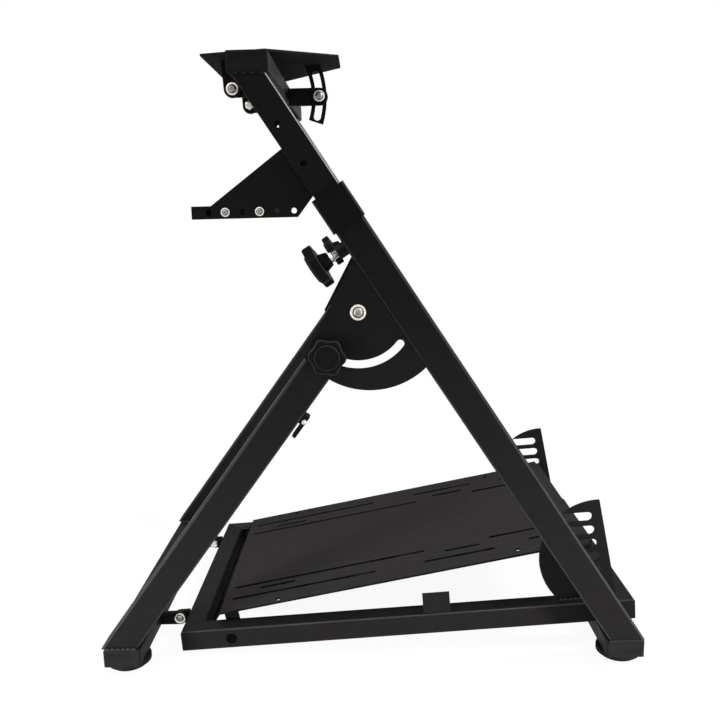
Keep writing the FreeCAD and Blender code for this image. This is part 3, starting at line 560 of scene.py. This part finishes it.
class STAND_OT_coats(bpy.types.Operator):
    """Coat the frame's own pieces"""

    bl_idname = "stand.coats"
    bl_label = "Coat Frame"

    def execute(self, context):
        for entry in frame["record"]["subparts"]:
            node = entry["node"]
            coat(NODES[node], FINISHES.get(node, entry["material_slot"]))
        return {"FINISHED"}


def scale_points(thing, test, share):
    """Scale the points that pass a test about the piece's own axis."""
    activate(thing)
    bpy.ops.object.mode_set(mode="EDIT")
    bpy.ops.mesh.select_mode(type="VERT")
    bpy.ops.mesh.select_all(action="DESELECT")
    mesh = bmesh.from_edit_mesh(thing.data)
    for vertex in mesh.verts:
        vertex.select_set(test(vertex.co))
    mesh.select_flush_mode()
    bmesh.update_edit_mesh(thing.data)
    bpy.ops.transform.resize(value=(share, share, 1), center_override=(0, 0, 0))
    bpy.ops.object.mode_set(mode="OBJECT")


def star_knob(base, thickness, radius):
    """A knob head with six round lobes and a raised disc, standing on base."""
    lobes, steps, depth, turn = 6, 16, 0.135, math.radians(-6)
    disc_share, disc_height, sunk = 0.66, 0.0018, 0.0002
    head = cylinder(radius, thickness, base, lobes * steps)
    width = math.tau / (lobes * steps)

    def at_step(number):
        return lambda spot: round((math.atan2(spot.y, spot.x) + math.tau) / width) % steps == number

    for number in range(steps):
        wave = (1 - math.cos(lobes * (number * width - turn))) / 2
        scale_points(head, at_step(number), 1 - depth * wave)
    bevel(head, sizes().knob_round, 4)
    disc = cylinder(radius * disc_share, disc_height, base + thickness - sunk, 64)
    step_top(disc, (0.0008, 0.0008), (0.0022, 0.0002), (0.0012, -0.0006), (0.004, 0.0))
    return join(head, disc)


def threaded_stud(radius, low, high):
    """A stud with ridges along it."""
    pitch, core = sizes().thread_pitch, 0.86
    rod = cylinder(radius * core, high - low, low, 32)
    ridge = cylinder(radius * core, pitch, low, 32)
    select_faces(ridge, lambda centre, normal: abs(normal.z) < 0.5)
    bpy.ops.mesh.subdivide(number_cuts=1)
    bpy.ops.object.mode_set(mode="OBJECT")
    scale_points(ridge, lambda spot: abs(spot.z - low - pitch / 2) < pitch / 8, 1 / core)
    apply_modifier(ridge, "ARRAY", count=int((high - low) / pitch), use_relative_offset=False,
                   use_constant_offset=True, constant_offset_displace=(0, 0, pitch))
    return join(rod, ridge)


class STAND_OT_knobs(bpy.types.Operator):
    """Model the four star knobs on their studs"""

    bl_idname = "stand.knobs"
    bl_label = "Star Knobs"

    def execute(self, context):
        for kind, body, hub in (("leg_knob", "front_legs", 0.0082), ("height_knob", "main_frame", 0.0115)):
            knob = rod = None
            for side in SIDES:
                node = f"{kind}_{side}"
                place, length = axis_frame(node, OUT[side] if kind == "leg_knob" else UNDER_MAST)
                if knob is None:
                    across = [span(node, place.col[axis].to_3d()) for axis in (0, 1)]
                    radius = max(high - low for low, high in across) / 2
                    knob, rod = self.model(length, radius, hub)
                star, stud = copy_of(knob, f"{node}_star"), copy_of(rod, f"{node}_stud")
                put(star, place)
                put(stud, place)
                finish = "height_knob" if kind == "height_knob" else None
                deliver(star, f"{node}_star", "knob_plastic", body, node, finish=finish)
                deliver(stud, f"{node}_stud", "zinc_bolt", body)
            discard(knob, rod)
        return {"FINISHED"}

    @staticmethod
    def model(length, radius, hub):
        """The knob with its tapered hub, and its stud with a thin nut."""
        head, disc_rise, neck_radius, taper = 0.016, 0.0028, 0.0128, 0.72
        stud, nut, nut_across, nut_gap = 0.005, 0.0042, 0.0145, 0.0002
        knob = star_knob(length - head, head - disc_rise, radius)
        foot = length - head - hub
        neck = cylinder(neck_radius, hub, foot, 48)
        scale_points(neck, lambda spot: spot.z < foot + hub / 2, taper)
        bevel(neck, 0.0008)
        knob = join(knob, neck)
        smooth(knob)
        rod = join(threaded_stud(stud, 0.0, foot), hex_nut(nut_across, nut, foot - nut - nut_gap))
        smooth(rod, 30)
        return knob, rod


def hex_nut(across, height, base, hole=None):
    """A chamfered hexagon that stands on base."""
    nut = cylinder(across / 2, height, base, 6)
    bevel(nut, across * 0.03, 2, 20)
    if hole:
        step_top(nut, (across / 2 * 0.87 - hole, 0.0), (0.0006, -0.0008))
    return nut


def washer(radius, base):
    """A flat washer that stands on base."""
    disc = cylinder(radius, 0.0016, base, 48)
    bevel(disc, 0.0004)
    return disc


def button_head(radius, height, base):
    """A domed head with a hexagonal socket."""
    head = cylinder(radius, height * 0.45, base, 48)
    dome = ((0.14, 0.30), (0.22, 0.20), (0.16, 0.05))
    step_top(head, *[(radius * inward, height * rise) for inward, rise in dome])
    socket = cylinder(radius * 0.46, height, base + height * 0.5, 6)
    carve(head, socket)
    return head


# Body, radius of the shank, height of the head and radius of the washer.
BOLTS = {
    "pivot_bolt": ("front_legs", 0.0050, 0.006, 0.0100),
    "wheel_hinge_bolt": ("mast", 0.0040, 0.005, 0.0086),
    "base_hinge_bolt": ("front_legs", 0.0040, 0.005, 0.0080),
    "tilt_bolt": ("mast", 0.0050, 0.005, 0.0084),
}


def bolt_parts(length, shank, head, reach):
    """A shank with washer and nut, its head in a rougher and darker copy of the zinc, the darkness being painted
    shade, and a black ring round the head that is painted shade of the groove there.
    """
    face, rim, step = length - head, 0.0016, 0.0002
    top, nut_height, nut_base = face + rim, 0.0068, 0.0004
    cap_height = head - rim
    body = join(cylinder(shank, face + head * 0.3, 0.0, 32), washer(reach, face),
                hex_nut(reach * 1.7, nut_height, nut_base, shank))
    cap = button_head(reach * 0.62, cap_height, top)
    bead = cylinder(reach * 0.15, cap_height * 0.42, top + cap_height * 0.2, 24)
    step_top(bead, (reach * 0.05, step))
    cap = join(cap, bead)
    # Black ring under the head's rim: painted shade of the groove between washer and head.
    groove_shade_ring = cylinder(reach * 0.72, 2 * step, top - step / 2, 48)
    step_top(groove_shade_ring, (reach * 0.04, step))
    for thing in (body, cap):
        smooth(thing, 30)
    return {"set": (body, "zinc_bolt", "zinc_bolt"), "head": (cap, "zinc_bolt", "zinc_head_shaded"),
            "groove_shade_ring": (groove_shade_ring, "black_bolt", "black_bolt")}


def fit_bolt(parts, name, place, body, *replaced):
    """Put a copy of each of a bolt's parts in its place."""
    for part, (master, slot, finish) in parts.items():
        twin = copy_of(master, f"{name}_{part}")
        put(twin, place)
        deliver(twin, f"{name}_{part}", slot, body, *(replaced if part == "set" else ()), finish=finish)


def discard_parts(parts):
    """Delete the masters of a bolt's parts."""
    discard(*[master for master, slot, finish in parts.values()])


class STAND_OT_bolts(bpy.types.Operator):
    """Model the hinge and clamp bolts with their washers and nuts"""

    bl_idname = "stand.bolts"
    bl_label = "Bolts"

    def execute(self, context):
        for kind, (body, shank, head, reach) in BOLTS.items():
            parts = None
            for node in sorted(name for name in NODES if name.startswith(kind)):
                place, length = axis_frame(node, OUT["left" if node.endswith("_left") else "right"])
                parts = parts or bolt_parts(length, shank, head, reach)
                fit_bolt(parts, node, place, body, node)
            discard_parts(parts)
        return {"FINISHED"}


class STAND_OT_shelf_screws(bpy.types.Operator):
    """Model the screws that hold the shelf to its gusset, and the plugs in two of its holes"""

    bl_idname = "stand.shelf_screws"
    bl_label = "Shelf Screws"

    def execute(self, context):
        grip, head, washer_radius = 0.0136, 0.0042, 0.0056
        parts = bolt_parts(grip + head, sizes().screw_diameter / 2, head, washer_radius)
        inward = Matrix.Translation((0, 0, -grip))
        for number, count in enumerate((2, 4), start=1):
            fit_bolt(parts, f"shelf_screw_{number}", self.hole(count) @ inward, "mast")
        discard_parts(parts)
        plug_radius, plug_length, sunk = 0.0036, 0.0024, 0.0036
        plug = cylinder(plug_radius, plug_length, -sunk, 32)
        step_top(plug, (0.0006, 0.0), (0.0004, -0.0006))
        for name, count, finish in (("shelf_plug", 5, "black_bolt"), ("shelf_blank", 1, "grey_plug")):
            twin = copy_of(plug, name)
            put(twin, self.hole(count))
            deliver(twin, name, "black_bolt", "mast", finish=finish)
        discard(plug)
        return {"FINISHED"}

    @staticmethod
    def hole(count):
        """The place of one hole in the row along the gusset's foot."""
        first, pitch, rise = 0.0245, 0.0213, 0.008
        low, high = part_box("shifter_gusset")
        return facing((high.x - first - count * pitch, low.y - SKIN, low.z + rise), OUT["right"])


class STAND_OT_plugs(bpy.types.Operator):
    """Model the covers on the pedal plate's hinge bolts, the mast plugs and the catch's screw"""

    bl_idname = "stand.plugs"
    bl_label = "Covers"

    def execute(self, context):
        cover_radius, cover_rim = 0.0074, 0.0007
        cover = cylinder(cover_radius, cover_rim, 0.0, 48)
        step_top(cover, (0.0007, 0.0006), (0.0016, 0.0002), (0.0012, -0.0008), (0.0016, 0.0))
        smooth(cover)
        plug_radius, plug_length, sunk = 0.0039, 0.003, 0.0045
        plug = cylinder(plug_radius, plug_length, -sunk, 32)
        step_top(plug, (0.0003, 0.0), (0.0015, -0.0022))
        smooth(plug)
        for side in SIDES:
            place, length = axis_frame(f"plate_bolt_{side}", OUT[side])
            bolt_end = place @ Matrix.Translation((0, 0, length))
            self.fit(cover, f"plate_bolt_cover_{side}", bolt_end, "pedal_base")
            hole = facing(self.mast_hole(side), OUT[side])
            # The plug's forward-facing recess walls carry painted shade.
            self.fit(plug, f"mast_plug_painted_shade_{side}", hole, "mast", "mast_plug_painted_shade")
        discard(cover, plug)
        screw_radius, screw_height, along_x, along_z = 0.0038, 0.0026, 0.004, 0.006
        low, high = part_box("fold_catch")
        screw = button_head(screw_radius, screw_height, 0.0)
        smooth(screw, 30)
        middle = (low + high) / 2
        put(screw, facing((middle.x + along_x, low.y + SKIN, middle.z + along_z), OUT["right"]))
        deliver(screw, "fold_catch_screw", "zinc_bolt", "front_legs")
        return {"FINISHED"}

    @staticmethod
    def fit(master, name, place, body, finish=None):
        """Put a copy of a cover or plug in its place."""
        twin = copy_of(master, name)
        put(twin, place)
        deliver(twin, name, "black_bolt", body, finish=finish)

    @staticmethod
    def mast_hole(side):
        """The middle of the lower hole in a mast tube's outer face."""
        node = f"mast_tube_{side}"
        low, high = span(node, UNDER_MAST)
        skin = span(node, OUT[side])[1]
        inset, reach = 0.005, 0.02
        outer = [point.co for point in NODES[node].data.vertices if point.co.dot(OUT[side]) > skin - LEVEL]
        rim = [point for point in outer if low + inset < point.dot(UNDER_MAST) < high - inset]
        if not rim:
            raise RuntimeError(f"{node} has no hole in its outer face")
        first = min(point.dot(ALONG_MAST) for point in rim)
        rim = [point for point in rim if point.dot(ALONG_MAST) < first + reach]
        return sum(rim, Vector()) / len(rim)


class STAND_OT_feet(bpy.types.Operator):
    """Model the rubber feet"""

    bl_idname = "stand.feet"
    bl_label = "Rubber Feet"

    def execute(self, context):
        low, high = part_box("rear_pad_right")
        radius, height = (high.x - low.x) / 2, high.z - low.z
        slack, lower = 0.0002, 0.62
        foot = cylinder(radius - slack, height * lower, -height, 64)
        crown = (0.0026, height * (1 - lower) - 0.002)
        step_top(foot, (0.0006, 0.0002), (0.0016, 0.0), (0.0006, 0.0018), crown)
        bevel(foot, 0.0006)
        smooth(foot)
        for end, body in (("rear", "main_frame"), ("front", "front_legs")):
            for side in SIDES:
                node = f"{end}_pad_{side}"
                low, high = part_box(node)
                middle = (low + high) / 2
                twin = copy_of(foot, f"{node}_rubber")
                put(twin, facing((middle.x, middle.y, low.z), (0, 0, -1)))
                deliver(twin, f"{node}_rubber", "foot_rubber", body, node)
        discard(foot)
        return {"FINISHED"}


class STAND_OT_caps(bpy.types.Operator):
    """Model the bar ends' plastic caps"""

    bl_idname = "stand.caps"
    bl_label = "End Caps"

    def execute(self, context):
        low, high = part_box("rear_cap_right")
        wide, tall, lip, fit, plug = high.x - low.x, high.z - low.z, 0.003, 0.0043, 0.015
        cap = block((wide, tall, lip), 0.0)
        step_top(cap, (0.0042, 0.0), (0.0010, -0.0005))
        bevel(cap, sizes().cap_round, 3)
        stem = block((wide - fit, tall - fit, plug), -plug)
        bevel(stem, 0.001, 2)
        cap = join(cap, stem)
        smooth(cap)
        for end, body in (("rear", "main_frame"), ("front", "front_legs"), ("top", "mast")):
            for side in SIDES:
                node = f"{end}_cap_{side}"
                low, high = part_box(node)
                middle = (low + high) / 2
                y = (low.y + lip) if side == "right" else (high.y - lip)
                twin = copy_of(cap, f"{node}_plug")
                put(twin, facing((middle.x, y, middle.z), OUT[side]))
                deliver(twin, f"{node}_plug", "cap_plastic", body, node)
        discard(cap)
        return {"FINISHED"}


def weld_bead(start, end, width, pitch):
    """A rippled bead between two points, kept half a ripple short of each."""
    flat, longest, overlap, lean = 0.78, 1.9, 1.1, math.radians(24)
    run = Vector(end) - Vector(start)
    way = run.normalized()
    length = run.length - pitch
    deselect()
    bpy.ops.mesh.primitive_uv_sphere_add(segments=12, ring_count=8, radius=width / 2)
    ripple = bpy.context.active_object
    ripple.scale = (1.0, flat, min(longest, pitch * overlap / width))
    ripple.rotation_euler = (lean, 0, 0)
    bpy.ops.object.transform_apply(location=True, rotation=True, scale=True)
    count = max(2, round(length / pitch) + 1)
    apply_modifier(ripple, "ARRAY", count=count, use_relative_offset=False, use_constant_offset=True,
                   constant_offset_displace=(0, 0, length / (count - 1)))
    side = (1, 0, 0) if abs(way.x) < 0.9 else (0, 1, 0)
    put(ripple, facing(Vector(start) + way * pitch / 2, run, side))
    return ripple


class STAND_OT_welds(bpy.types.Operator):
    """Lay the weld beads along the joints"""

    bl_idname = "stand.welds"
    bl_label = "Welds"

    def execute(self, context):
        for side, sign in SIDES.items():
            self.foot(f"main_leg_{side}", "rear_foot_bar", "main_frame", f"main_foot_weld_{side}", 0.55)
            self.foot(f"front_leg_{side}", "front_foot_bar", "front_legs", f"front_foot_weld_{side}", 1.0)
            self.mast(f"mast_tube_{side}", f"mast_weld_{side}")
            self.quadrant(f"quadrant_{side}", f"quadrant_weld_{side}")
            low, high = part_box(f"pivot_plate_{side}")
            self.edge(f"pivot_plate_{side}", "main_frame", f"pivot_plate_weld_{side}",
                      high.y if sign < 0 else low.y)
        low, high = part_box("shifter_gusset")
        self.edge("shifter_gusset", "mast", "gusset_weld", low.y, high.y)
        return {"FINISHED"}

    @staticmethod
    def lay(name, body, runs, width=1.0, pitch=1.0):
        """One piece of beads along some runs, with width and pitch as shares of the usual ones."""
        wide, ripple = sizes().weld_width * width, sizes().weld_pitch * pitch
        beads = [weld_bead(start, end, wide, ripple) for start, end in runs]
        bead = join(*beads)
        smooth(bead, 60)
        deliver(bead, name, "frame_paint", body)

    def foot(self, leg, bar, body, name, share):
        """Beads along a leg's two sides on its bar, a share of the usual size."""
        x0, x1, y0, y1, z = level_edge(leg, False)
        low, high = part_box(bar)
        inset = 0.003
        x0, x1 = max(x0, low.x + inset), min(x1, high.x - inset)
        self.lay(name, body, [((x0, y, z), (x1, y, z)) for y in (y0, y1)], share, share)

    def mast(self, tube, name):
        """Spots of weld round a mast tube under the top bar."""
        x0, x1, y0, y1, z = level_edge(tube, True)
        corners = [(x0, y0, z), (x1, y0, z), (x1, y1, z), (x0, y1, z)]
        self.lay(name, "mast", zip(corners, corners[1:] + corners[:1]), width=0.62, pitch=1.4)

    def quadrant(self, node, name):
        """Beads along a quadrant's foot, on both faces."""
        way = self.base_way()
        lift = Vector((-way.z, 0, way.x))
        points = [vertex.co for vertex in NODES[node].data.vertices]
        floor = min(point.dot(lift) for point in points)
        row = sorted(point.dot(way) for point in points if point.dot(lift) < floor + NEAR)
        ends = [way * at + lift * floor for at in (row[0], row[-1])]
        low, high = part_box(node)
        runs = [[(end.x, y, end.z) for end in ends] for y in (low.y, high.y)]
        self.lay(name, "pedal_base", runs, width=0.9, pitch=0.9)

    @staticmethod
    def base_way():
        """The direction of the pedal base's side tubes."""
        points = [vertex.co for vertex in NODES["base_side_right"].data.vertices]
        reach = 0.02
        low = [point for point in points if point.x < min(p.x for p in points) + reach]
        high = [point for point in points if point.x > max(p.x for p in points) - reach]
        start = Vector((min(p.x for p in low), 0, max(p.z for p in low)))
        end = Vector((max(p.x for p in high), 0, max(p.z for p in high)))
        return (end - start).normalized()

    def edge(self, node, body, name, *faces):
        """Fine beads along the edge of a plate that meets a leg or mast tube, on the given faces."""
        edge = -span(node, UNDER_MAST)[0]
        points = [vertex.co for vertex in NODES[node].data.vertices]
        row = sorted(point.dot(ALONG_MAST) for point in points if -point.dot(UNDER_MAST) > edge - NEAR)
        ends = [ALONG_MAST * at - UNDER_MAST * edge for at in (row[0], row[-1])]
        runs = [[(end.x, y, end.z) for end in ends] for y in faces]
        self.lay(name, body, runs, width=0.42, pitch=0.5)


# Place, target, width, power in watts and spread in degrees of each lamp.
LAMPS = {
    "key": ((-1.6, -1.6, 2.6), (0, 0, 0.4), 2.0, 26, 180),
    "side": ((1.8, -0.2, 2.2), (0, 0, 0.5), 0.45, 64, 180),
    "top": ((0.0, 0.3, 3.0), (0, 0, 0.3), 2.6, 44, 180),
    "low_left": ((-1.5, -1.2, 0.2), (-0.2, -0.2, 0.04), 0.4, 2.6, 36),
    "low_right": ((1.5, -1.2, 0.2), (0.2, -0.2, 0.04), 0.4, 2.6, 36),
}


class STAND_OT_stage(bpy.types.Operator):
    """Set the floor, the light and the camera"""

    bl_idname = "stand.stage"
    bl_label = "Stage"

    def execute(self, context):
        settings = context.scene.stand_stage
        self.floor()
        self.world(settings.fill)
        for name, lamp in LAMPS.items():
            self.lamp(name, *lamp)
        self.camera(settings)
        context.scene.view_settings.view_transform = "Standard"
        return {"FINISHED"}

    @staticmethod
    def floor():
        """A round floor, small enough to be well lit up to its edge."""
        radius, glow = 1.6, 0.93
        deselect()
        bpy.ops.mesh.primitive_circle_add(vertices=128, radius=radius, fill_type="NGON", location=(0, 0, 0))
        ground = bpy.context.active_object
        ground.name = "floor"
        ground.data.materials.append(white_ground("stage_floor", glow))

    @staticmethod
    def world(fill):
        """A white surround to the camera, and a softer one to light the stand."""
        world = bpy.data.worlds.new("stage_world")
        bpy.context.scene.world = world
        world.use_nodes = True
        tree = world.node_tree
        back = tree.nodes["Background"]
        back.inputs["Color"].default_value = (1, 1, 1, 1)
        level = tree.nodes.new("ShaderNodeMapRange")
        level.inputs["To Min"].default_value = fill
        level.inputs["To Max"].default_value = 1.0
        tree.links.new(seen_rays(tree), level.inputs["Value"])
        tree.links.new(level.outputs["Result"], back.inputs["Strength"])

    @staticmethod
    def lamp(name, spot, target, width, power, degrees):
        """A round lamp that faces its target."""
        deselect()
        bpy.ops.object.light_add(type="AREA", location=spot)
        lamp = bpy.context.active_object
        lamp.name = f"{name}_light"
        lamp.data.shape = "DISK"
        lamp.data.size = width
        lamp.data.energy = power
        lamp.data.spread = math.radians(degrees)
        aim = Vector(target) - Vector(spot)
        lamp.rotation_euler = aim.to_track_quat("-Z", "Y").to_euler()

    @staticmethod
    def camera(settings):
        """The camera of the photograph."""
        deselect()
        bpy.ops.object.camera_add(location=settings.eye)
        camera = bpy.context.active_object
        camera.name = "photo_camera"
        yaw, roll = Matrix.Rotation(-settings.yaw, 4, "Z"), Matrix.Rotation(settings.roll, 4, "Z")
        pitch = Matrix.Rotation(math.pi / 2 - settings.pitch, 4, "X")
        camera.matrix_world = Matrix.Translation(settings.eye) @ yaw @ pitch @ roll
        camera.data.sensor_width = 36.0
        camera.data.lens = settings.lens
        bpy.context.scene.camera = camera


class STAND_PT_panel(bpy.types.Panel):
    """Lists the stand's makers"""

    bl_label = "Wheel Stand"
    bl_idname = "STAND_PT_panel"
    bl_space_type = "VIEW_3D"
    bl_region_type = "UI"
    bl_category = "Wheel Stand"

    def draw(self, context):
        for maker in MAKERS:
            self.layout.operator(maker.bl_idname)
        for group in GROUPS:
            settings = getattr(context.scene, group)
            column = self.layout.column()
            for name in settings.bl_rna.properties.keys():
                if name not in ("rna_type", "name"):
                    column.prop(settings, name)


GROUPS = {"stand_coats": StandCoats, "stand_sizes": StandSizes, "stand_stage": StandStage}
MAKERS = (STAND_OT_coats, STAND_OT_knobs, STAND_OT_bolts, STAND_OT_shelf_screws, STAND_OT_plugs,
          STAND_OT_feet, STAND_OT_caps, STAND_OT_welds, STAND_OT_stage)


def register():
    for kind in (*GROUPS.values(), *MAKERS, STAND_PT_panel):
        bpy.utils.register_class(kind)
    for name, kind in GROUPS.items():
        setattr(bpy.types.Scene, name, bpy.props.PointerProperty(type=kind))


def unregister():
    for name in GROUPS:
        delattr(bpy.types.Scene, name)
    for kind in reversed((*GROUPS.values(), *MAKERS, STAND_PT_panel)):
        bpy.utils.unregister_class(kind)


def main():
    register()
    bpy.ops.stand.coats()
    bpy.ops.stand.knobs()
    bpy.ops.stand.bolts()
    bpy.ops.stand.shelf_screws()
    bpy.ops.stand.plugs()
    bpy.ops.stand.feet()
    bpy.ops.stand.caps()
    bpy.ops.stand.welds()
    bpy.ops.stand.stage()
    deselect()


if __name__ == "__main__":
    main()
